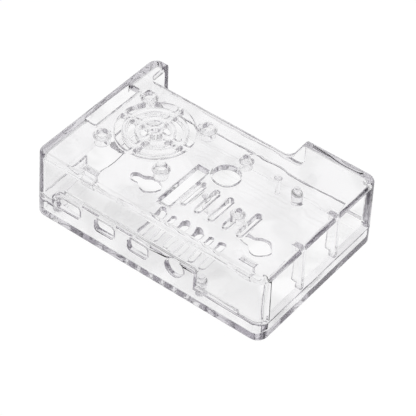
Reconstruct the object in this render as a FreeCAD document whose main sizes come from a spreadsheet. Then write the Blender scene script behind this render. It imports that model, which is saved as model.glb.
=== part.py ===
"""Clear moulded case for a single board computer: a bottom shell and a lift-off top cover.

The origin is the middle of the bottom face.  X runs along the length, with the big socket
windows at +X.  Y runs across, with the small ports at -Y and the pin header side at +Y.
Z is up.  All sizes are millimetres.
"""
import FreeCAD, Part
import math
import os
import Sketcher
from FreeCAD import Vector

SIZES = {
    # the board that the case holds
    "board_length": 85.0,
    "board_width": 56.0,
    "board_thick": 1.5,
    "board_gap": 0.3,
    "board_hole_inset": 3.5,
    "board_hole_span": 58.0,
    "board_hole_rise": 49.0,
    # walls and outer form
    "end_wall": 2.7,
    "side_wall": 2.2,
    "floor_thick": 2.0,
    "top_thick": 2.6,
    "case_height": 27.0,
    "rim_height": 7.6,
    "corner_radius": 4.0,
    "inner_radius": 1.5,
    "bottom_round": 1.2,
    "top_round": 1.4,
    "room_round": 1.0,
    "cover_draft": 1.2,
    # joint between the two shells
    "seat_gap": 0.1,
    "tongue_thick": 0.9,
    "tongue_height": 1.2,
    "tongue_stop": 6.0,
    # raised port wall at the front
    "port_wall_left": 8.0,
    "port_wall_length": 57.0,
    "port_wall_height": 14.6,
    "port_wall_round": 4.4,
    # port cut-outs, measured from the board's left edge and its top face
    "power_along": 11.2,
    "power_width": 9.2,
    "power_tall": 4.4,
    "video_along": 26.0,
    "video_pitch": 13.5,
    "video_width": 7.4,
    "video_tall": 4.6,
    "port_lift": 1.8,
    "port_round": 1.1,
    "audio_along": 54.0,
    "audio_lift": 3.0,
    "audio_hole": 6.8,
    # board supports
    "standoff_height": 5.0,
    "standoff_width": 4.0,
    "pin_width": 2.3,
    "pin_height": 2.2,
    # bottom shell openings
    "card_width": 14.0,
    "card_depth": 6.5,
    "floor_slot_width": 2.0,
    "floor_slot_length": 11.5,
    "floor_slot_pitch": 4.9,
    "floor_slot_across": -10.8,
    "floor_slot_along": -12.0,
    "keyhole_pitch": 45.4,
    "keyhole_along": -23.5,
    "keyhole_across": 1.2,
    "keyhole_head": 7.6,
    "keyhole_neck": 3.6,
    "keyhole_run": 5.6,
    # socket windows at the right end
    "window_width": 16.2,
    "window_pitch": 18.0,
    "window_across": -0.2,
    "window_rise": 15.9,
    "pillar_rib": 1.6,
    "pillar_lift": 1.5,
    # pin header notch at the back
    "notch_left": 6.5,
    "notch_length": 56.7,
    "notch_depth": 10.3,
    "notch_sill": 14.5,
    "notch_round": 2.4,
    # fan grille
    "fan_along": -22.3,
    "fan_across": 2.0,
    "fan_hole_pitch": 24.0,
    "fan_hole": 3.6,
    "fan_boss": 5.2,
    "fan_boss_drop": 3.2,
    "spoke_width": 2.0,
    "slot_radius": 2.6,
    "slot_width": 2.2,
    "slot_step": 4.15,
    # camera place
    "camera_along": 7.8,
    "camera_across": 0.0,
    "camera_span": 12.5,
    "camera_rise": 21.0,
    "lens_hole": 8.9,
    "camera_boss": 4.2,
    "camera_boss_drop": 3.5,
    "camera_screw_hole": 2.2,
    "camera_pin": 1.9,
    "camera_pin_drop": 7.0,
    # ribbon slots
    "camera_slot_left": -1.7,
    "camera_slot_width": 4.2,
    "camera_slot_front": -22.2,
    "camera_slot_length": 20.0,
    "display_slot_width": 4.3,
    "display_slot_length": 22.0,
    "display_slot_across": 2.7,
    # lid vents
    "vent_along": 4.9,
    "vent_pitch": 5.4,
    "vent_width": 1.8,
    "vent_front": -18.7,
    "vent_length": 11.2,
    "short_vent_length": 5.0,
    # wire tabs under the lid
    "tab_along": -26.5,
    "tab_pitch": 61.5,
    "tab_setback": 2.8,
    "tab_width": 5.2,
    "tab_thick": 1.4,
    "tab_drop": 5.4,
}

CASE_LENGTH = "(Sizes.board_length + 2 * Sizes.board_gap + 2 * Sizes.end_wall)"
CASE_WIDTH = "(Sizes.board_width + 2 * Sizes.board_gap + 2 * Sizes.side_wall)"
ROOM_LENGTH = "(Sizes.board_length + 2 * Sizes.board_gap)"
ROOM_WIDTH = "(Sizes.board_width + 2 * Sizes.board_gap)"
BOARD_LEFT = "(-Sizes.board_length / 2)"
BOARD_TOP = "(Sizes.floor_thick + Sizes.standoff_height + Sizes.board_thick)"
LID_FOOT = "(Sizes.rim_height + Sizes.seat_gap)"
LID_CEILING = "(Sizes.case_height - Sizes.top_thick)"
REBATE_THICK = "(Sizes.tongue_thick + Sizes.seat_gap)"
REBATE_HEIGHT = "(Sizes.tongue_height + Sizes.seat_gap)"
PORT_WALL_START = f"(Sizes.port_wall_left - {CASE_LENGTH} / 2)"
PORT_TONGUE_LENGTH = "(Sizes.port_wall_length - Sizes.port_wall_round - 2 * Sizes.seat_gap)"
PORT_TONGUE_MIDDLE = f"({PORT_WALL_START} + Sizes.port_wall_length / 2 + Sizes.port_wall_round / 2)"
PORT_TONGUE_ACROSS = f"(-{ROOM_WIDTH} / 2 - Sizes.tongue_thick / 2)"
VIDEO_PORTS = 2
WINDOWS = 3
RINGS = 3
SPOKES = 4
FLOOR_VENTS = 6
KEYHOLES = 2
WIRE_TABS = 2
EQUAL_VENTS = 3
SMALLEST_CHANGE = 0.01
LEVEL_TOLERANCE = 1e-6
HALF_TURN = math.pi
QUARTER_TURN = math.pi / 2
FLAT, FRONT, END = "XY_Plane", "XZ_Plane", "YZ_Plane"

doc = FreeCAD.newDocument("board_case")
sheet = doc.addObject("Spreadsheet::Sheet", "Sizes")
for row, (alias, value) in enumerate(SIZES.items(), start=1):
    sheet.set(f"A{row}", alias.replace("_", " "))
    sheet.set(f"B{row}", str(value))
    sheet.setAlias(f"B{row}", alias)
doc.recompute()


def new_body(name):
    """An empty body whose label names its file."""
    body = doc.addObject("PartDesign::Body", name)
    body.Label = name
    return body


def new_sketch(body, name, plane, along="0", across="0", out="0"):
    """A sketch on one of the body's origin planes, moved along, across and out of that plane."""
    support = next(f for f in body.Origin.OriginFeatures if f.Role == plane)
    sketch = body.newObject("Sketcher::SketchObject", name)
    sketch.AttachmentSupport = (support, [""])
    sketch.MapMode = "FlatFace"
    for axis, formula in (("x", along), ("y", across), ("z", out)):
        sketch.setExpression(f"AttachmentOffset.Base.{axis}", formula)
    return sketch


def bind(sketch, constraint, formula):
    """Adds a driving dimension and ties it to a formula of the sheet."""
    index = sketch.addConstraint(constraint)
    sketch.setExpression(f"Constraints[{index}]", formula)


def current(formula):
    """The value that a formula has now, for a first drawing that lies near its solution."""
    return float(sheet.evalExpression(formula))


def join(sketch, kind, first, first_end, second, second_end):
    """Ties one end of a line or arc to one end of another."""
    sketch.addConstraint(Sketcher.Constraint(kind, first, first_end, second, second_end))


def draw_circle(sketch, width, x="0", y="0"):
    """A circle of the given diameter, its middle at x, y from the sketch's own origin."""
    centre = Vector(current(x), current(y), 0)
    circle = sketch.addGeometry(Part.Circle(centre, Vector(0, 0, 1), current(width) / 2), False)
    bind(sketch, Sketcher.Constraint("Diameter", circle, current(width)), width)
    if x == "0" and y == "0":
        join(sketch, "Coincident", circle, 3, -1, 1)
        return
    bind(sketch, Sketcher.Constraint("DistanceX", -1, 1, circle, 3, centre.x), x)
    bind(sketch, Sketcher.Constraint("DistanceY", -1, 1, circle, 3, centre.y), y)


def draw_four_circles(sketch, width, span, rise):
    """Four equal circles at the corners of a rectangle about the sketch's origin."""
    for side in ("-", ""):
        for end in ("-", ""):
            draw_circle(sketch, width, f"{side}{span} / 2", f"{end}{rise} / 2")


def draw_rectangle(sketch, length, width, radius=None):
    """A rectangle about the sketch's origin, with round corners where a radius is given."""
    half_x, half_y = current(length) / 2, current(width) / 2
    r = current(radius) if radius else 0
    corners = ((1, -1), (1, 1), (-1, 1), (-1, -1))
    lines = []
    for turn, (sx, sy) in enumerate(corners):
        px, py = corners[turn - 1]
        start = Vector(px * half_x, py * half_y, 0)
        end = Vector(sx * half_x, sy * half_y, 0)
        step = (end - start).normalize() * r
        lines.append(sketch.addGeometry(Part.LineSegment(start + step, end - step), False))
        flat = "Horizontal" if sy == py else "Vertical"
        sketch.addConstraint(Sketcher.Constraint(flat, lines[-1]))
    arcs = []
    for turn, (sx, sy) in enumerate(corners):
        follow = lines[(turn + 1) % 4]
        if not radius:
            join(sketch, "Coincident", lines[turn], 2, follow, 1)
            continue
        centre = Vector(sx * (half_x - r), sy * (half_y - r), 0)
        start_angle = (turn - 1) * QUARTER_TURN
        circle = Part.Circle(centre, Vector(0, 0, 1), r)
        arc = Part.ArcOfCircle(circle, start_angle, start_angle + QUARTER_TURN)
        arcs.append(sketch.addGeometry(arc, False))
        join(sketch, "Tangent", lines[turn], 2, arcs[-1], 1)
        join(sketch, "Tangent", arcs[-1], 2, follow, 1)
    if radius:
        for arc in arcs[1:]:
            sketch.addConstraint(Sketcher.Constraint("Equal", arcs[0], arc))
        bind(sketch, Sketcher.Constraint("Radius", arcs[0], r), radius)
        sketch.addConstraint(Sketcher.Constraint("Symmetric", arcs[0], 3, arcs[2], 3, -1, 1))
    else:
        sketch.addConstraint(Sketcher.Constraint("Symmetric", lines[0], 1, lines[2], 1, -1, 1))
    bind(sketch, Sketcher.Constraint("DistanceY", lines[0], 1, lines[2], 1, 2 * half_y), width)
    bind(sketch, Sketcher.Constraint("DistanceX", lines[3], 1, lines[1], 1, 2 * half_x), length)


def draw_slot(sketch, length, width):
    """A slot with half round ends along the sketch's Y, about the sketch's origin."""
    r = current(width) / 2
    reach = current(length) / 2 - r
    arcs = []
    for side, angle in ((1, 0.0), (-1, HALF_TURN)):
        circle = Part.Circle(Vector(0, side * reach, 0), Vector(0, 0, 1), r)
        arcs.append(sketch.addGeometry(Part.ArcOfCircle(circle, angle, angle + HALF_TURN), False))
    left = sketch.addGeometry(Part.LineSegment(Vector(-r, reach, 0), Vector(-r, -reach, 0)), False)
    right = sketch.addGeometry(Part.LineSegment(Vector(r, -reach, 0), Vector(r, reach, 0)), False)
    join(sketch, "Tangent", arcs[0], 2, left, 1)
    join(sketch, "Tangent", left, 2, arcs[1], 1)
    join(sketch, "Tangent", arcs[1], 2, right, 1)
    join(sketch, "Tangent", right, 2, arcs[0], 1)
    sketch.addConstraint(Sketcher.Constraint("Vertical", left))
    sketch.addConstraint(Sketcher.Constraint("Symmetric", arcs[0], 3, arcs[1], 3, -1, 1))
    bind(sketch, Sketcher.Constraint("Diameter", arcs[0], 2 * r), width)
    bind(sketch, Sketcher.Constraint("DistanceY", arcs[1], 3, arcs[0], 3, 2 * reach), f"{length} - {width}")


def draw_sector(sketch, inner, width):
    """A quarter of a ring slot in the first quadrant, its straight ends along the spokes."""
    inner_r = current(inner)
    outer_r = current(f"{inner} + {width}")
    half = current("Sizes.spoke_width / 2")

    def reach(radius):
        return (radius ** 2 - half ** 2) ** 0.5

    points = [
        Vector(reach(inner_r), half, 0),
        Vector(reach(outer_r), half, 0),
        Vector(half, reach(outer_r), 0),
        Vector(half, reach(inner_r), 0),
    ]
    low = sketch.addGeometry(Part.LineSegment(points[0], points[1]), False)
    side = sketch.addGeometry(Part.LineSegment(points[2], points[3]), False)
    edges = []
    for radius, start, end in ((outer_r, points[1], points[2]), (inner_r, points[0], points[3])):
        circle = Part.Circle(Vector(0, 0, 0), Vector(0, 0, 1), radius)
        arc = Part.ArcOfCircle(circle, circle.parameter(start), circle.parameter(end))
        edges.append(sketch.addGeometry(arc, False))
        join(sketch, "Coincident", edges[-1], 3, -1, 1)
    outer, inside = edges
    join(sketch, "Coincident", low, 2, outer, 1)
    join(sketch, "Coincident", outer, 2, side, 1)
    join(sketch, "Coincident", side, 2, inside, 2)
    join(sketch, "Coincident", inside, 1, low, 1)
    sketch.addConstraint(Sketcher.Constraint("Horizontal", low))
    sketch.addConstraint(Sketcher.Constraint("Vertical", side))
    bind(sketch, Sketcher.Constraint("DistanceY", -1, 1, low, 1, half), "Sizes.spoke_width / 2")
    bind(sketch, Sketcher.Constraint("DistanceX", -1, 1, side, 1, half), "Sizes.spoke_width / 2")
    bind(sketch, Sketcher.Constraint("Radius", inside, inner_r), inner)
    bind(sketch, Sketcher.Constraint("Radius", outer, outer_r), f"{inner} + {width}")


def draw_keyhole(sketch):
    """A round head about the sketch's origin, with a narrower neck that runs towards -X."""
    head = current("Sizes.keyhole_head / 2")
    neck = current("Sizes.keyhole_neck / 2")
    run = current("Sizes.keyhole_run")
    meet = -(head ** 2 - neck ** 2) ** 0.5
    circle = Part.Circle(Vector(0, 0, 0), Vector(0, 0, 1), head)
    start = circle.parameter(Vector(meet, -neck, 0)) - 2 * HALF_TURN
    big = sketch.addGeometry(Part.ArcOfCircle(circle, start, circle.parameter(Vector(meet, neck, 0))), False)
    top = sketch.addGeometry(Part.LineSegment(Vector(meet, neck, 0), Vector(-run, neck, 0)), False)
    tip = Part.Circle(Vector(-run, 0, 0), Vector(0, 0, 1), neck)
    small = sketch.addGeometry(Part.ArcOfCircle(tip, QUARTER_TURN, 3 * QUARTER_TURN), False)
    low = sketch.addGeometry(Part.LineSegment(Vector(-run, -neck, 0), Vector(meet, -neck, 0)), False)
    join(sketch, "Coincident", big, 3, -1, 1)
    join(sketch, "Coincident", big, 2, top, 1)
    join(sketch, "Tangent", top, 2, small, 1)
    join(sketch, "Tangent", small, 2, low, 1)
    join(sketch, "Coincident", low, 2, big, 1)
    sketch.addConstraint(Sketcher.Constraint("Horizontal", top))
    sketch.addConstraint(Sketcher.Constraint("Horizontal", low))
    sketch.addConstraint(Sketcher.Constraint("PointOnObject", small, 3, -1))
    bind(sketch, Sketcher.Constraint("Diameter", big, 2 * head), "Sizes.keyhole_head")
    bind(sketch, Sketcher.Constraint("Diameter", small, 2 * neck), "Sizes.keyhole_neck")
    bind(sketch, Sketcher.Constraint("DistanceX", small, 3, -1, 1, run), "Sizes.keyhole_run")


def draw_port_wall(sketch, grow="0"):
    """The raised port wall seen from the front, its upper left corner round.

    The sketch's origin is the wall's lower left corner and grow widens the left, right and top."""
    rise = "(Sizes.port_wall_height - Sizes.floor_thick)"
    length = current("Sizes.port_wall_length")
    tall = current(rise)
    r = current("Sizes.port_wall_round")
    extra = current(grow)
    left, right, top = -extra, length + extra, tall + extra
    r += extra
    low = sketch.addGeometry(Part.LineSegment(Vector(left, 0, 0), Vector(right, 0, 0)), False)
    end = sketch.addGeometry(Part.LineSegment(Vector(right, 0, 0), Vector(right, top, 0)), False)
    roof = sketch.addGeometry(Part.LineSegment(Vector(right, top, 0), Vector(left + r, top, 0)), False)
    circle = Part.Circle(Vector(left + r, top - r, 0), Vector(0, 0, 1), r)
    bend = sketch.addGeometry(Part.ArcOfCircle(circle, QUARTER_TURN, HALF_TURN), False)
    side = sketch.addGeometry(Part.LineSegment(Vector(left, top - r, 0), Vector(left, 0, 0)), False)
    join(sketch, "Coincident", low, 2, end, 1)
    join(sketch, "Coincident", end, 2, roof, 1)
    join(sketch, "Tangent", roof, 2, bend, 1)
    join(sketch, "Tangent", bend, 2, side, 1)
    join(sketch, "Coincident", side, 2, low, 1)
    for line in (low, roof):
        sketch.addConstraint(Sketcher.Constraint("Horizontal", line))
    for line in (end, side):
        sketch.addConstraint(Sketcher.Constraint("Vertical", line))
    sketch.addConstraint(Sketcher.Constraint("PointOnObject", low, 1, -1))
    bind(sketch, Sketcher.Constraint("DistanceX", low, 1, low, 2, right - left),
         f"Sizes.port_wall_length + 2 * {grow}")
    bind(sketch, Sketcher.Constraint("DistanceY", end, 1, end, 2, top), f"{rise} + {grow}")
    bind(sketch, Sketcher.Constraint("DistanceX", -1, 1, low, 2, right), f"Sizes.port_wall_length + {grow}")
    bind(sketch, Sketcher.Constraint("Radius", bend, r), f"Sizes.port_wall_round + {grow}")


def volume_after(body):
    """The body's volume once everything is worked out anew."""
    doc.recompute()
    return body.Shape.Volume


def pad(body, name, sketch, length, reverse=False, draft=None):
    """Adds material from the plane out to the given length, with sides that lean in by the draft."""
    before = volume_after(body) if body.Tip and body.Tip != sketch else 0
    feature = body.newObject("PartDesign::Pad", name)
    feature.Profile = sketch
    feature.setExpression("Length", length)
    feature.Reversed = reverse
    if draft:
        feature.setExpression("TaperAngle", f"-{draft}")
    assert volume_after(body) > before + SMALLEST_CHANGE, f"{name} adds nothing"
    return feature


def pocket(body, name, sketch, depth, reverse=False):
    """Takes material away from the sketch's plane down to the given depth."""
    before = volume_after(body)
    feature = body.newObject("PartDesign::Pocket", name)
    feature.Profile = sketch
    feature.setExpression("Length", depth)
    feature.Reversed = reverse
    assert volume_after(body) < before - SMALLEST_CHANGE, f"{name} removes nothing"
    return feature


def repeat(body, name, feature, sketch, axis, count, pitch):
    """Repeats a feature along one of its sketch's axes, count times at the given pitch."""
    pattern = body.newObject("PartDesign::LinearPattern", name)
    pattern.Originals = [feature]
    pattern.Direction = (sketch, [axis])
    pattern.Occurrences = count
    pattern.setExpression("Length", f"{pitch} * {count - 1}")
    body.Tip = pattern
    doc.recompute()
    return pattern


def round_edges(body, name, feature, height, radius):
    """Rounds every edge of the feature that lies in the level plane at the given height."""
    doc.recompute()
    level = current(height)
    names = []
    for index, edge in enumerate(feature.Shape.Edges, start=1):
        if all(abs(vertex.Z - level) < LEVEL_TOLERANCE for vertex in edge.Vertexes):
            names.append(f"Edge{index}")
    fillet = body.newObject("PartDesign::Fillet", name)
    fillet.Base = (feature, names)
    fillet.setExpression("Radius", radius)
    doc.recompute()
    return fillet


def make_bottom_shell():
    """The tray: floor, low rim, raised port wall, tongue, board supports and floor openings."""
    body = new_body("bottom_shell")

    outline = new_sketch(body, "tray_outline", FLAT)
    draw_rectangle(outline, CASE_LENGTH, CASE_WIDTH, "Sizes.corner_radius")
    tray = pad(body, "tray_block", outline, "Sizes.rim_height")
    round_edges(body, "tray_bottom_round", tray, "0", "Sizes.bottom_round")

    tongue = new_sketch(body, "tongue_outline", FLAT, "-(Sizes.tongue_thick + Sizes.tongue_stop) / 2",
                        out="Sizes.rim_height")
    draw_rectangle(tongue, f"{ROOM_LENGTH} - Sizes.tongue_stop + Sizes.tongue_thick",
                   f"{ROOM_WIDTH} + 2 * Sizes.tongue_thick", "Sizes.inner_radius + Sizes.tongue_thick")
    pad(body, "tongue_block", tongue, "Sizes.tongue_height")

    room = new_sketch(body, "tray_room_outline", FLAT, out="Sizes.rim_height + Sizes.tongue_height")
    draw_rectangle(room, ROOM_LENGTH, ROOM_WIDTH, "Sizes.inner_radius")
    hollow = pocket(body, "tray_room", room, "Sizes.rim_height + Sizes.tongue_height - Sizes.floor_thick")
    round_edges(body, "tray_room_round", hollow, "Sizes.floor_thick", "Sizes.room_round")

    wall = new_sketch(body, "port_wall_outline", FRONT, PORT_WALL_START, "Sizes.floor_thick",
                      f"{CASE_WIDTH} / 2 - Sizes.side_wall")
    draw_port_wall(wall)
    pad(body, "port_wall", wall, "Sizes.side_wall")

    ridge = new_sketch(body, "port_wall_tongue_outline", FLAT, PORT_TONGUE_MIDDLE, PORT_TONGUE_ACROSS,
                       "Sizes.port_wall_height")
    draw_rectangle(ridge, PORT_TONGUE_LENGTH, "Sizes.tongue_thick")
    pad(body, "port_wall_tongue", ridge, "Sizes.tongue_height")

    add_port_holes(body)
    add_board_supports(body)
    add_floor_openings(body)
    return body


def add_port_holes(body):
    """Cut-outs in the port wall for the power, video and audio sockets."""
    outer_face = f"{CASE_WIDTH} / 2"
    lift = f"{BOARD_TOP} + Sizes.port_lift"
    power = new_sketch(body, "power_hole_outline", FRONT, f"{BOARD_LEFT} + Sizes.power_along", lift,
                       outer_face)
    draw_rectangle(power, "Sizes.power_width", "Sizes.power_tall", "Sizes.port_round")
    pocket(body, "power_hole", power, "Sizes.side_wall")

    video = new_sketch(body, "video_hole_outline", FRONT, f"{BOARD_LEFT} + Sizes.video_along", lift,
                       outer_face)
    draw_rectangle(video, "Sizes.video_width", "Sizes.video_tall", "Sizes.port_round")
    hole = pocket(body, "video_hole", video, "Sizes.side_wall")
    repeat(body, "video_holes", hole, video, "H_Axis", VIDEO_PORTS, "Sizes.video_pitch")

    audio = new_sketch(body, "audio_hole_outline", FRONT, f"{BOARD_LEFT} + Sizes.audio_along",
                       f"{BOARD_TOP} + Sizes.audio_lift", outer_face)
    draw_circle(audio, "Sizes.audio_hole")
    pocket(body, "audio_hole", audio, "Sizes.side_wall")


def add_board_supports(body):
    """Four standoffs with locating pins that pass through the board's corner holes."""
    middle = f"{BOARD_LEFT} + Sizes.board_hole_inset + Sizes.board_hole_span / 2"
    span, rise = "Sizes.board_hole_span", "Sizes.board_hole_rise"
    feet = new_sketch(body, "standoff_outline", FLAT, middle, out="Sizes.floor_thick")
    draw_four_circles(feet, "Sizes.standoff_width", span, rise)
    pad(body, "standoffs", feet, "Sizes.standoff_height")
    pins = new_sketch(body, "pin_outline", FLAT, middle, out="Sizes.floor_thick + Sizes.standoff_height")
    draw_four_circles(pins, "Sizes.pin_width", span, rise)
    pad(body, "locating_pins", pins, "Sizes.pin_height")


def add_floor_openings(body):
    """The memory card gap at the left end, the row of vents and the two keyholes."""
    card = new_sketch(body, "card_gap_outline", FLAT, f"(Sizes.card_depth - {CASE_LENGTH}) / 2",
                      out="Sizes.rim_height + Sizes.tongue_height")
    draw_rectangle(card, "Sizes.card_depth", "Sizes.card_width")
    pocket(body, "card_gap", card, "Sizes.rim_height + Sizes.tongue_height")

    vent = new_sketch(body, "floor_vent_outline", FLAT, "Sizes.floor_slot_along", "Sizes.floor_slot_across",
                      "Sizes.floor_thick")
    draw_slot(vent, "Sizes.floor_slot_length", "Sizes.floor_slot_width")
    slot = pocket(body, "floor_vent", vent, "Sizes.floor_thick")
    repeat(body, "floor_vents", slot, vent, "H_Axis", FLOOR_VENTS, "Sizes.floor_slot_pitch")

    key = new_sketch(body, "keyhole_outline", FLAT, "Sizes.keyhole_along", "Sizes.keyhole_across",
                     "Sizes.floor_thick")
    draw_keyhole(key)
    keyhole = pocket(body, "keyhole", key, "Sizes.floor_thick")
    repeat(body, "keyholes", keyhole, key, "H_Axis", KEYHOLES, "Sizes.keyhole_pitch")


def make_top_cover():
    """The lid: plate and walls, with every window, notch, slot, boss and pin moulded in."""
    body = new_body("top_cover")
    height = f"Sizes.case_height - {LID_FOOT}"

    outline = new_sketch(body, "cover_outline", FLAT, out=LID_FOOT)
    draw_rectangle(outline, CASE_LENGTH, CASE_WIDTH, "Sizes.corner_radius")
    block = pad(body, "cover_block", outline, height, draft="Sizes.cover_draft")
    round_edges(body, "cover_top_round", block, "Sizes.case_height", "Sizes.top_round")

    room = new_sketch(body, "cover_room_outline", FLAT, out=LID_FOOT)
    draw_rectangle(room, ROOM_LENGTH, ROOM_WIDTH, "Sizes.inner_radius")
    hollow = pocket(body, "cover_room", room, f"{LID_CEILING} - {LID_FOOT}", reverse=True)
    round_edges(body, "cover_room_round", hollow, LID_CEILING, "Sizes.room_round")

    rebate = new_sketch(body, "rebate_outline", FLAT, "-(Sizes.tongue_thick + Sizes.tongue_stop) / 2",
                        out=LID_FOOT)
    draw_rectangle(rebate, f"{ROOM_LENGTH} - Sizes.tongue_stop + {REBATE_THICK} + Sizes.seat_gap",
                   f"{ROOM_WIDTH} + 2 * {REBATE_THICK}", f"Sizes.inner_radius + {REBATE_THICK}")
    pocket(body, "rebate", rebate, "Sizes.tongue_height", reverse=True)

    add_port_wall_seat(body)
    add_socket_windows(body)
    add_header_notch(body)
    add_fan_grille(body)
    add_camera_place(body)
    add_lid_slots(body)
    add_wire_tabs(body)
    return body


def add_port_wall_seat(body):
    """The front wall is cut away round the raised port wall and its tongue."""
    seat = new_sketch(body, "port_wall_seat_outline", FRONT, PORT_WALL_START, "Sizes.floor_thick",
                      f"{CASE_WIDTH} / 2")
    draw_port_wall(seat, "Sizes.seat_gap")
    pocket(body, "port_wall_seat", seat, "Sizes.side_wall")
    groove = new_sketch(body, "port_wall_groove_outline", FLAT, PORT_TONGUE_MIDDLE,
                        f"{PORT_TONGUE_ACROSS} - Sizes.seat_gap / 2", "Sizes.port_wall_height")
    draw_rectangle(groove, f"{PORT_TONGUE_LENGTH} + 2 * Sizes.seat_gap", REBATE_THICK)
    pocket(body, "port_wall_groove", groove, REBATE_HEIGHT, reverse=True)


def add_socket_windows(body):
    """Three windows in the right end wall, with ribbed pillars between them."""
    sill = f"({BOARD_TOP} + Sizes.pillar_lift)"
    pillar = "(Sizes.window_pitch - Sizes.window_width)"
    rib = new_sketch(body, "pillar_rib_outline", FLAT, f"({ROOM_LENGTH} - Sizes.pillar_rib) / 2",
                     "Sizes.window_across - Sizes.window_pitch / 2", sill)
    draw_rectangle(rib, "Sizes.pillar_rib", pillar)
    post = pad(body, "pillar_rib", rib, f"{LID_CEILING} - {sill}")
    repeat(body, "pillar_ribs", post, rib, "V_Axis", WINDOWS - 1, "Sizes.window_pitch")

    rise = f"({BOARD_TOP} + Sizes.window_rise - Sizes.rim_height)"
    window = new_sketch(body, "window_outline", END, "Sizes.window_across - Sizes.window_pitch",
                        f"Sizes.rim_height + {rise} / 2", f"{CASE_LENGTH} / 2")
    draw_rectangle(window, "Sizes.window_width", rise)
    opening = pocket(body, "socket_window", window, "Sizes.end_wall + Sizes.room_round")
    repeat(body, "socket_windows", opening, window, "H_Axis", WINDOWS, "Sizes.window_pitch")


def add_header_notch(body):
    """The gap over the pin header, open through the lid plate and down the back wall."""
    middle = f"Sizes.notch_left + Sizes.notch_length / 2 - {CASE_LENGTH} / 2"
    plate = new_sketch(body, "notch_plate_outline", FLAT, middle, f"{CASE_WIDTH} / 2", "Sizes.case_height")
    draw_rectangle(plate, "Sizes.notch_length", "2 * Sizes.notch_depth", "Sizes.notch_round")
    pocket(body, "notch_plate", plate, "Sizes.top_thick")
    wall = new_sketch(body, "notch_wall_outline", FRONT, middle, "Sizes.case_height",
                      f"Sizes.side_wall + Sizes.room_round - {CASE_WIDTH} / 2")
    draw_rectangle(wall, "Sizes.notch_length", "2 * (Sizes.case_height - Sizes.notch_sill)",
                   "Sizes.notch_round")
    pocket(body, "notch_wall", wall, "Sizes.side_wall + Sizes.room_round")


def add_fan_grille(body):
    """Three rings of slots between four spokes, with four hollow screw bosses round them."""
    place = ("Sizes.fan_along", "Sizes.fan_across")
    rings = new_sketch(body, "grille_outline", FLAT, *place, "Sizes.case_height")
    for ring in range(RINGS):
        draw_sector(rings, f"(Sizes.slot_radius + {ring} * Sizes.slot_step)", "Sizes.slot_width")
    quarter = pocket(body, "grille_quarter", rings, "Sizes.top_thick")
    pattern = body.newObject("PartDesign::PolarPattern", "grille")
    pattern.Originals = [quarter]
    pattern.Axis = (rings, ["N_Axis"])
    pattern.Angle = 360
    pattern.Occurrences = SPOKES
    body.Tip = pattern

    pitch = "Sizes.fan_hole_pitch"
    bosses = new_sketch(body, "fan_boss_outline", FLAT, *place, LID_CEILING)
    draw_four_circles(bosses, "Sizes.fan_boss", pitch, pitch)
    pad(body, "fan_bosses", bosses, "Sizes.fan_boss_drop", reverse=True)
    holes = new_sketch(body, "fan_hole_outline", FLAT, *place, "Sizes.case_height")
    draw_four_circles(holes, "Sizes.fan_hole", pitch, pitch)
    pocket(body, "fan_holes", holes, "Sizes.top_thick + Sizes.fan_boss_drop")


def add_camera_place(body):
    """A lens hole, two hollow screw bosses and two locating pins for a camera board."""
    lens = new_sketch(body, "lens_outline", FLAT, "Sizes.camera_along", "Sizes.camera_across",
                      "Sizes.case_height")
    draw_circle(lens, "Sizes.lens_hole")
    pocket(body, "lens_hole", lens, "Sizes.top_thick")

    near = ("0", "Sizes.camera_rise / 2")
    far = ("Sizes.camera_span", "-Sizes.camera_rise / 2")
    place = ("Sizes.camera_along", "Sizes.camera_across")
    bosses = new_sketch(body, "camera_boss_outline", FLAT, *place, LID_CEILING)
    for spot in (near, far):
        draw_circle(bosses, "Sizes.camera_boss", *spot)
    pad(body, "camera_bosses", bosses, "Sizes.camera_boss_drop", reverse=True)
    holes = new_sketch(body, "camera_hole_outline", FLAT, *place, "Sizes.case_height")
    for spot in (near, far):
        draw_circle(holes, "Sizes.camera_screw_hole", *spot)
    pocket(body, "camera_holes", holes, "Sizes.top_thick + Sizes.camera_boss_drop")

    pins = new_sketch(body, "camera_pin_outline", FLAT, *place, LID_CEILING)
    draw_circle(pins, "Sizes.camera_pin", "Sizes.camera_span", "Sizes.camera_rise / 2")
    draw_circle(pins, "Sizes.camera_pin", "0", "-Sizes.camera_rise / 2")
    pad(body, "camera_pins", pins, "Sizes.camera_pin_drop", reverse=True)


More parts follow.
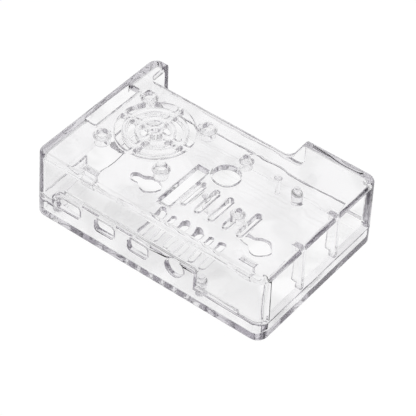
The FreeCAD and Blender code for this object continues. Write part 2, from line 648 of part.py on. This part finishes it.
def add_lid_slots(body):
    """The two ribbon slots and the group of parallel vents."""
    camera = new_sketch(body, "camera_slot_outline", FLAT,
                        "Sizes.camera_slot_left + Sizes.camera_slot_width / 2",
                        "Sizes.camera_slot_front + Sizes.camera_slot_length / 2", "Sizes.case_height")
    draw_rectangle(camera, "Sizes.camera_slot_width", "Sizes.camera_slot_length")
    pocket(body, "camera_slot", camera, "Sizes.top_thick")

    display = new_sketch(body, "display_slot_outline", FLAT,
                         f"(Sizes.display_slot_width - {ROOM_LENGTH}) / 2",
                         "Sizes.display_slot_across", "Sizes.case_height")
    draw_rectangle(display, "Sizes.display_slot_width", "Sizes.display_slot_length")
    pocket(body, "display_slot", display, "Sizes.top_thick + Sizes.room_round")

    vents = new_sketch(body, "vent_outline", FLAT, "Sizes.vent_along",
                       "Sizes.vent_front + Sizes.vent_length / 2", "Sizes.case_height")
    draw_slot(vents, "Sizes.vent_length", "Sizes.vent_width")
    first = pocket(body, "vent", vents, "Sizes.top_thick")
    repeat(body, "vents", first, vents, "H_Axis", EQUAL_VENTS, "Sizes.vent_pitch")
    last = new_sketch(body, "last_vent_outline", FLAT,
                      f"Sizes.vent_along + {EQUAL_VENTS + 1} * Sizes.vent_pitch",
                      "Sizes.vent_front + Sizes.vent_length / 2", "Sizes.case_height")
    draw_slot(last, "Sizes.vent_length", "Sizes.vent_width")
    pocket(body, "last_vent", last, "Sizes.top_thick")
    short = new_sketch(body, "short_vent_outline", FLAT,
                       f"Sizes.vent_along + {EQUAL_VENTS} * Sizes.vent_pitch",
                       "Sizes.vent_front + Sizes.short_vent_length / 2", "Sizes.case_height")
    draw_slot(short, "Sizes.short_vent_length", "Sizes.vent_width")
    pocket(body, "short_vent", short, "Sizes.top_thick")


def add_wire_tabs(body):
    """Two thin tabs that hang from the plate behind the front wall and keep the fan wires in."""
    tab = new_sketch(body, "wire_tab_outline", FLAT, "Sizes.tab_along",
                     f"Sizes.tab_setback + Sizes.tab_thick / 2 - {ROOM_WIDTH} / 2", LID_CEILING)
    draw_rectangle(tab, "Sizes.tab_width", "Sizes.tab_thick")
    hook = pad(body, "wire_tab", tab, "Sizes.tab_drop", reverse=True)
    repeat(body, "wire_tabs", hook, tab, "H_Axis", WIRE_TABS, "Sizes.tab_pitch")


def write_parts(bodies):
    """Checks every object and writes each shell to its own file."""
    doc.recompute()
    for item in doc.Objects:
        failed = {"Invalid", "Error"} & set(item.State)
        assert not failed, f"{item.Label} is {failed}"
    os.makedirs("parts", exist_ok=True)
    for body in bodies:
        shape = body.Shape
        assert not shape.isNull() and shape.isValid(), f"{body.Label} has no valid shape"
        assert len(shape.Solids) == 1, f"{body.Label} is {len(shape.Solids)} solids"
        shape.exportStep(f"parts/{body.Label}.step")
        print(body.Label, round(shape.Volume, 1), shape.BoundBox)


write_parts([make_bottom_shell(), make_top_cover()])
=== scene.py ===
"""Looks of the clear moulded board case: two clear plastic shells on a white studio table."""
import math

import bmesh
import bpy
from mathutils import Matrix, Vector


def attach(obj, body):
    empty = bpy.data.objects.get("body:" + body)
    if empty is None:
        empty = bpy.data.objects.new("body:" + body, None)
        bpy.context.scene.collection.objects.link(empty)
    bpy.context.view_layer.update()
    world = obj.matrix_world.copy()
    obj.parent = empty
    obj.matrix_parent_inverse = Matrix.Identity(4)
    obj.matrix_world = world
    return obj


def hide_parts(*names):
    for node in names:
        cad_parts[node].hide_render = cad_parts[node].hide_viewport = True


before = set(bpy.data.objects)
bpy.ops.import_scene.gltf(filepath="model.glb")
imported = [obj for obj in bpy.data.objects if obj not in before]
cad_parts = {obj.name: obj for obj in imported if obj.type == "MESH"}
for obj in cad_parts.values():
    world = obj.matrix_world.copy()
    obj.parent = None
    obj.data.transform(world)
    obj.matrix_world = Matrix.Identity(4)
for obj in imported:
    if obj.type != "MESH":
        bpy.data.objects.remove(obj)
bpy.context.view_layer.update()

MM = 0.001

# The camera: sensor and lens in millimetres, its place, the way it looks and its roll
SENSOR_WIDTH = 36.0
LENS_LENGTH = 180.6
CAMERA_PLACE = Vector((277.57, -391.16, 472.90)) * MM
CAMERA_AIM = Vector((-0.4139, 0.5864, -0.6963))
CAMERA_ROLL = math.radians(3.58)

# How often light may turn: in all, by mirroring, through the plastic and off the matt table
MOST_TURNS = 48
MIRROR_TURNS = 40
CLEAR_TURNS = 48
MATT_TURNS = 3

# The studio's level away from the soft boxes, and each box: direction, edge angle, full angle
STUDIO_LEVEL = 0.3
SOFT_BOXES = (
    ((0, 0, 1), 60, 45),
    ((-0.4152, 0.5873, 0.6948), 35, 25),
)

# The table: half its width, its drop below the case, its matt white and its own light, and the
# shares of that light for the camera's rays and for those that come through the plastic
TABLE_REACH = 600 * MM
TABLE_DROP = 0.3 * MM
TABLE_WHITE = 0.9
TABLE_LIGHT = 1.02
CAMERA_SHARE = 0.97
CLEAR_SHARE = 0.97

# The sheet of light seen through the plastic: a rectangle that fades out all round it
SHEET_MIDDLE = (-4 * MM, 4 * MM, 0.0)
SHEET_HALF = (250 * MM, 250 * MM, 1.0)
SHEET_FADE = 200 * MM
SHEET_BRIGHT = 1.03
SHEET_DIM = 0.25

# Soft patches in that sheet: a noise whose range is spread from the patch level up to one
PATCH_SCALE = 70.0
PATCH_DISTORTION = 0.6
PATCH_RANGE = (0.3, 0.6)
PATCH_LEVEL = 0.88

# The soft shadow of the front wall on the table: its far edge, its core and its near edge
SHADOW_PLACES = (-8 * MM, -13 * MM, -30 * MM)
SHADOW_DEPTH = 0.13

# The plastic: refraction, absorption, and the darkest and lightest shade of its surface
PLASTIC_IOR = 1.53
TINT_COLOUR = (0.70, 0.68, 0.72, 1)
TINT_DENSITY = 42.0
SHADE_LOW = (0.985, 0.985, 0.985, 1)
SHADE_HIGH = (1.0, 1.0, 1.0, 1)

# Each shell's node, body and swell scale, then the swells' depth and the fine ripple on them
SHELLS = (("bottom_shell", "tray", 65.0), ("top_cover", "lid", 75.0))
SWELL_DEPTH = 0.4 * MM
RIPPLE_SCALE = 260.0
RIPPLE_SHARE = 0.02
NOISE_DETAIL = 1.0

# How far apart two opposite faces read the unevenness, so that the walls vary in thickness
FACE_SPREAD = 6 * MM

# The faint haze: the ripple's range that brings it, and the roughness it reaches
HAZE_RANGE = (0.45, 0.75)
HAZE_MOST = 0.015

# The softened edges: width and steps, what counts as sharp and as a cusp, and two mesh settings
EDGE_SOFTNESS = 0.6 * MM
EDGE_STEPS = 3
SHARP_ANGLE = math.radians(30)
CUSP_ANGLE = math.radians(15)
WELD_REACH = 1e-6
FLAT_FACE_WEIGHT = 100


def set_camera():
    """The photograph's view: a long lens from the front right, rolled by a few degrees."""
    data = bpy.data.cameras.new("view_camera")
    data.sensor_width = SENSOR_WIDTH
    data.lens = LENS_LENGTH
    camera = bpy.data.objects.new("view_camera", data)
    bpy.context.scene.collection.objects.link(camera)
    level = CAMERA_AIM.to_track_quat("-Z", "Y").to_matrix().to_4x4()
    turn = Matrix.Rotation(CAMERA_ROLL, 4, "Z")
    camera.matrix_world = Matrix.Translation(CAMERA_PLACE) @ level @ turn
    bpy.context.scene.camera = camera


def set_light_paths():
    """Light may turn round inside the clear walls many times, as it does in real plastic."""
    cycles = bpy.context.scene.cycles
    cycles.max_bounces = MOST_TURNS
    cycles.glossy_bounces = MIRROR_TURNS
    cycles.transmission_bounces = CLEAR_TURNS
    cycles.diffuse_bounces = MATT_TURNS


def feed(tree, value, socket):
    """Link a socket, or write a plain value, into an input."""
    if isinstance(value, bpy.types.NodeSocket):
        tree.links.new(value, socket)
    else:
        socket.default_value = value


def math_step(tree, operation, *values):
    """A Math node on sockets or plain numbers."""
    node = tree.nodes.new("ShaderNodeMath")
    node.operation = operation
    for index, value in enumerate(values):
        feed(tree, value, node.inputs[index])
    return node.outputs[0]


def vector_step(tree, operation, *values):
    """A Vector Math node on sockets or plain vectors; lengths and products come out as values."""
    node = tree.nodes.new("ShaderNodeVectorMath")
    node.operation = operation
    for index, value in enumerate(values):
        feed(tree, value, node.inputs[index])
    return node.outputs["Value" if operation in ("LENGTH", "DOT_PRODUCT") else "Vector"]


def smooth_ramp(tree, value, start, end, low, high):
    """Low up to start, high from end on, and a smooth step between them."""
    node = tree.nodes.new("ShaderNodeMapRange")
    node.interpolation_type = "SMOOTHSTEP"
    names = ("Value", "From Min", "From Max", "To Min", "To Max")
    for name, number in zip(names, (value, start, end, low, high)):
        feed(tree, number, node.inputs[name])
    return node.outputs[0]


def soft_noise(tree, place, scale):
    """A Noise Texture read at a place."""
    noise = tree.nodes.new("ShaderNodeTexNoise")
    tree.links.new(place, noise.inputs["Vector"])
    feed(tree, scale, noise.inputs["Scale"])
    return noise


def ray_is(tree, *kinds):
    """One where the ray is of any of the named kinds, nought elsewhere."""
    path = tree.nodes.new("ShaderNodeLightPath")
    share = path.outputs[f"Is {kinds[0]} Ray"]
    for kind in kinds[1:]:
        share = math_step(tree, "MAXIMUM", share, path.outputs[f"Is {kind} Ray"])
    return share


def mix_shaders(tree, share, first, second):
    """The first shader where the share is nought, the second where it is one."""
    node = tree.nodes.new("ShaderNodeMixShader")
    feed(tree, share, node.inputs[0])
    tree.links.new(first, node.inputs[1])
    tree.links.new(second, node.inputs[2])
    return node.outputs[0]


def glow(tree, kind, level, strength=1.0):
    """A plain light source, an Emission or a Background, of a grey level."""
    node = tree.nodes.new(kind)
    feed(tree, level, node.inputs["Color"])
    node.inputs["Strength"].default_value = strength
    return node.outputs[0]


def soft_box(tree, direction, towards, edge, full):
    """A smooth patch of light: one within the full angle, and nought past the edge angle."""
    product = vector_step(tree, "DOT_PRODUCT", direction, tuple(Vector(towards).normalized()))
    outer, inner = math.cos(math.radians(edge)), math.cos(math.radians(full))
    return smooth_ramp(tree, product, outer, inner, 0.0, 1.0)


def set_world():
    """A dim studio with soft boxes, and plain white wherever the camera sees past the table."""
    world = bpy.data.worlds.new("studio")
    bpy.context.scene.world = world
    world.use_nodes = True
    tree = world.node_tree
    tree.nodes.clear()
    direction = tree.nodes.new("ShaderNodeTexCoord").outputs["Generated"]
    level = STUDIO_LEVEL
    for towards, edge, full in SOFT_BOXES:
        level = math_step(tree, "ADD", level, soft_box(tree, direction, towards, edge, full))
    level = math_step(tree, "MINIMUM", level, 1.0)
    studio = glow(tree, "ShaderNodeBackground", level)
    white = glow(tree, "ShaderNodeBackground", (1, 1, 1, 1))
    out = tree.nodes.new("ShaderNodeOutputWorld")
    tree.links.new(mix_shaders(tree, ray_is(tree, "Camera"), studio, white), out.inputs[0])


def sheet_patches(tree, place):
    """The light that the case gathers on the table: a noise that dips a little below one."""
    noise = soft_noise(tree, place, PATCH_SCALE)
    noise.inputs["Distortion"].default_value = PATCH_DISTORTION
    return smooth_ramp(tree, noise.outputs["Fac"], *PATCH_RANGE, PATCH_LEVEL, 1.0)


def wall_shadow(tree, place):
    """One less a hump of shadow along the front wall: far ramp times near ramp times depth."""
    far, core, near = SHADOW_PLACES
    across = vector_step(tree, "DOT_PRODUCT", place, (0, 1, 0))
    rise = smooth_ramp(tree, across, core, far, 1.0, 0.0)
    fall = smooth_ramp(tree, across, near, core, 0.0, 1.0)
    hump = math_step(tree, "MULTIPLY", rise, fall)
    return math_step(tree, "SUBTRACT", 1.0, math_step(tree, "MULTIPLY", hump, SHADOW_DEPTH))


def sheet_level(tree):
    """Brightness of the table through the plastic: rectangle's fall-off x patches x shadow."""
    place = tree.nodes.new("ShaderNodeTexCoord").outputs["Object"]
    offset = vector_step(tree, "ABSOLUTE", vector_step(tree, "SUBTRACT", place, SHEET_MIDDLE))
    past = vector_step(tree, "SUBTRACT", offset, SHEET_HALF)
    distance = vector_step(tree, "LENGTH", vector_step(tree, "MAXIMUM", past, (0, 0, 0)))
    sheet = smooth_ramp(tree, distance, 0.0, SHEET_FADE, SHEET_BRIGHT, SHEET_DIM)
    shading = math_step(tree, "MULTIPLY", sheet_patches(tree, place), wall_shadow(tree, place))
    return math_step(tree, "MULTIPLY", sheet, shading)


def table_material():
    """White to the camera, a lit sheet through the clear plastic, and matt to the rest."""
    material = bpy.data.materials.new("table_white")
    material.use_nodes = True
    tree = material.node_tree
    tree.nodes.clear()
    matt = tree.nodes.new("ShaderNodeBsdfDiffuse")
    matt.inputs["Color"].default_value = (TABLE_WHITE, TABLE_WHITE, TABLE_WHITE, 1)
    through = glow(tree, "ShaderNodeEmission", sheet_level(tree))
    bare = glow(tree, "ShaderNodeEmission", (1, 1, 1, 1), TABLE_LIGHT)
    seen = mix_shaders(tree, ray_is(tree, "Camera"), through, bare)
    straight = math_step(tree, "MULTIPLY", ray_is(tree, "Camera"), CAMERA_SHARE)
    bent = math_step(tree, "MULTIPLY", ray_is(tree, "Glossy", "Transmission"), CLEAR_SHARE)
    share = math_step(tree, "MAXIMUM", straight, bent)
    out = tree.nodes.new("ShaderNodeOutputMaterial")
    tree.links.new(mix_shaders(tree, share, matt.outputs[0], seen), out.inputs[0])
    return material


def set_table():
    """A square table just under the case. It is stage only."""
    mesh = bpy.data.meshes.new("table")
    corners = [(x * TABLE_REACH, y * TABLE_REACH, -TABLE_DROP)
               for x, y in ((-1, -1), (1, -1), (1, 1), (-1, 1))]
    mesh.from_pydata(corners, [], [(0, 1, 2, 3)])
    mesh.materials.append(table_material())
    table = bpy.data.objects.new("table", mesh)
    bpy.context.scene.collection.objects.link(table)


def unevenness_group():
    """Swells of a moulded face: wide noise plus a share of a fine one, as height, shade and haze.

    Both are read at the object's place plus the normal times a spread, so that the two faces of
    a wall differ.
    """
    group = bpy.data.node_groups.new("moulded_unevenness", "ShaderNodeTree")
    sockets = (("Swell Scale", "INPUT", "Float"), ("Height", "OUTPUT", "Float"),
               ("Shade", "OUTPUT", "Color"), ("Haze", "OUTPUT", "Float"))
    for name, way, kind in sockets:
        group.interface.new_socket(name=name, in_out=way, socket_type="NodeSocket" + kind)
    given = group.nodes.new("NodeGroupInput")
    put_out = group.nodes.new("NodeGroupOutput")
    spot = group.nodes.new("ShaderNodeTexCoord").outputs
    spread = vector_step(group, "MULTIPLY", spot["Normal"], (FACE_SPREAD,) * 3)
    place = vector_step(group, "ADD", spot["Object"], spread)
    waves = []
    for scale in (given.outputs["Swell Scale"], RIPPLE_SCALE):
        noise = soft_noise(group, place, scale)
        noise.inputs["Detail"].default_value = NOISE_DETAIL
        waves.append(noise.outputs["Fac"])
    swell, ripple = waves
    share = math_step(group, "MULTIPLY", ripple, RIPPLE_SHARE)
    group.links.new(math_step(group, "ADD", swell, share), put_out.inputs["Height"])
    shade = group.nodes.new("ShaderNodeMix")
    shade.data_type = "RGBA"
    group.links.new(swell, shade.inputs["Factor"])
    shade.inputs["A"].default_value = SHADE_LOW
    shade.inputs["B"].default_value = SHADE_HIGH
    group.links.new(shade.outputs["Result"], put_out.inputs["Shade"])
    haze = smooth_ramp(group, ripple, *HAZE_RANGE, 0.0, HAZE_MOST)
    group.links.new(haze, put_out.inputs["Haze"])
    return group


def clear_plastic(name, unevenness, swell_scale):
    """Clear, barely violet plastic with the swells and faint haze of a moulding."""
    material = bpy.data.materials.new(name)
    material.use_nodes = True
    tree = material.node_tree
    shader = tree.nodes["Principled BSDF"]
    shader.inputs["Transmission Weight"].default_value = 1.0
    shader.inputs["IOR"].default_value = PLASTIC_IOR
    surface = tree.nodes.new("ShaderNodeGroup")
    surface.node_tree = unevenness
    surface.inputs["Swell Scale"].default_value = swell_scale
    bump = tree.nodes.new("ShaderNodeBump")
    bump.inputs["Strength"].default_value = 1.0
    bump.inputs["Distance"].default_value = SWELL_DEPTH
    tree.links.new(surface.outputs["Height"], bump.inputs["Height"])
    tree.links.new(bump.outputs["Normal"], shader.inputs["Normal"])
    tree.links.new(surface.outputs["Shade"], shader.inputs["Base Color"])
    tree.links.new(surface.outputs["Haze"], shader.inputs["Roughness"])
    tint = tree.nodes.new("ShaderNodeVolumeAbsorption")
    tint.inputs["Color"].default_value = TINT_COLOUR
    tint.inputs["Density"].default_value = TINT_DENSITY
    tree.links.new(tint.outputs[0], tree.nodes["Material Output"].inputs["Volume"])
    return material


def mark_soft_edges(work):
    """A rounding weight on every sharp edge, but none on the shorter of two that meet in a cusp."""
    share = work.edges.layers.float.new("bevel_weight_edge")
    for edge in work.edges:
        edge[share] = 1.0 if edge.calc_face_angle(0.0) > SHARP_ANGLE else 0.0
    for corner in work.verts:
        marked = [edge for edge in corner.link_edges if edge[share] > 0.0]
        marked.sort(key=lambda edge: edge.calc_length())
        lines = [edge.other_vert(corner).co - corner.co for edge in marked]
        for index, edge in enumerate(marked):
            if any(lines[index].angle(line) < CUSP_ANGLE for line in lines[index + 1:]):
                edge[share] = 0.0


def softened(node):
    """A shell's own surface with its sharp edges rounded off, as a polished mould leaves them."""
    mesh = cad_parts[node].data.copy()
    for name in ("custom_normal", "sharp_edge", "sharp_face"):
        if name in mesh.attributes:
            mesh.attributes.remove(mesh.attributes[name])
    work = bmesh.new()
    work.from_mesh(mesh)
    bmesh.ops.remove_doubles(work, verts=work.verts, dist=WELD_REACH)
    for face in work.faces:
        face.smooth = True
    mark_soft_edges(work)
    work.to_mesh(mesh)
    work.free()
    piece = bpy.data.objects.new(node + "_clear", mesh)
    bpy.context.scene.collection.objects.link(piece)
    rounding = piece.modifiers.new("soft_edges", "BEVEL")
    rounding.width = EDGE_SOFTNESS
    rounding.segments = EDGE_STEPS
    rounding.limit_method = "WEIGHT"
    rounding.use_clamp_overlap = False
    rounding.loop_slide = False
    smoothing = piece.modifiers.new("flat_faces_stay_flat", "WEIGHTED_NORMAL")
    smoothing.weight = FLAT_FACE_WEIGHT
    return piece


def dress_shells():
    """Each shell gets softened edges and its own clear plastic."""
    unevenness = unevenness_group()
    for node, body, swell_scale in SHELLS:
        piece = softened(node)
        piece.data.materials.clear()
        piece.data.materials.append(clear_plastic(node + "_plastic", unevenness, swell_scale))
        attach(piece, body)
        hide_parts(node)


set_camera()
set_light_paths()
set_world()
set_table()
dress_shells()
bpy.context.scene.view_settings.view_transform = "Standard"
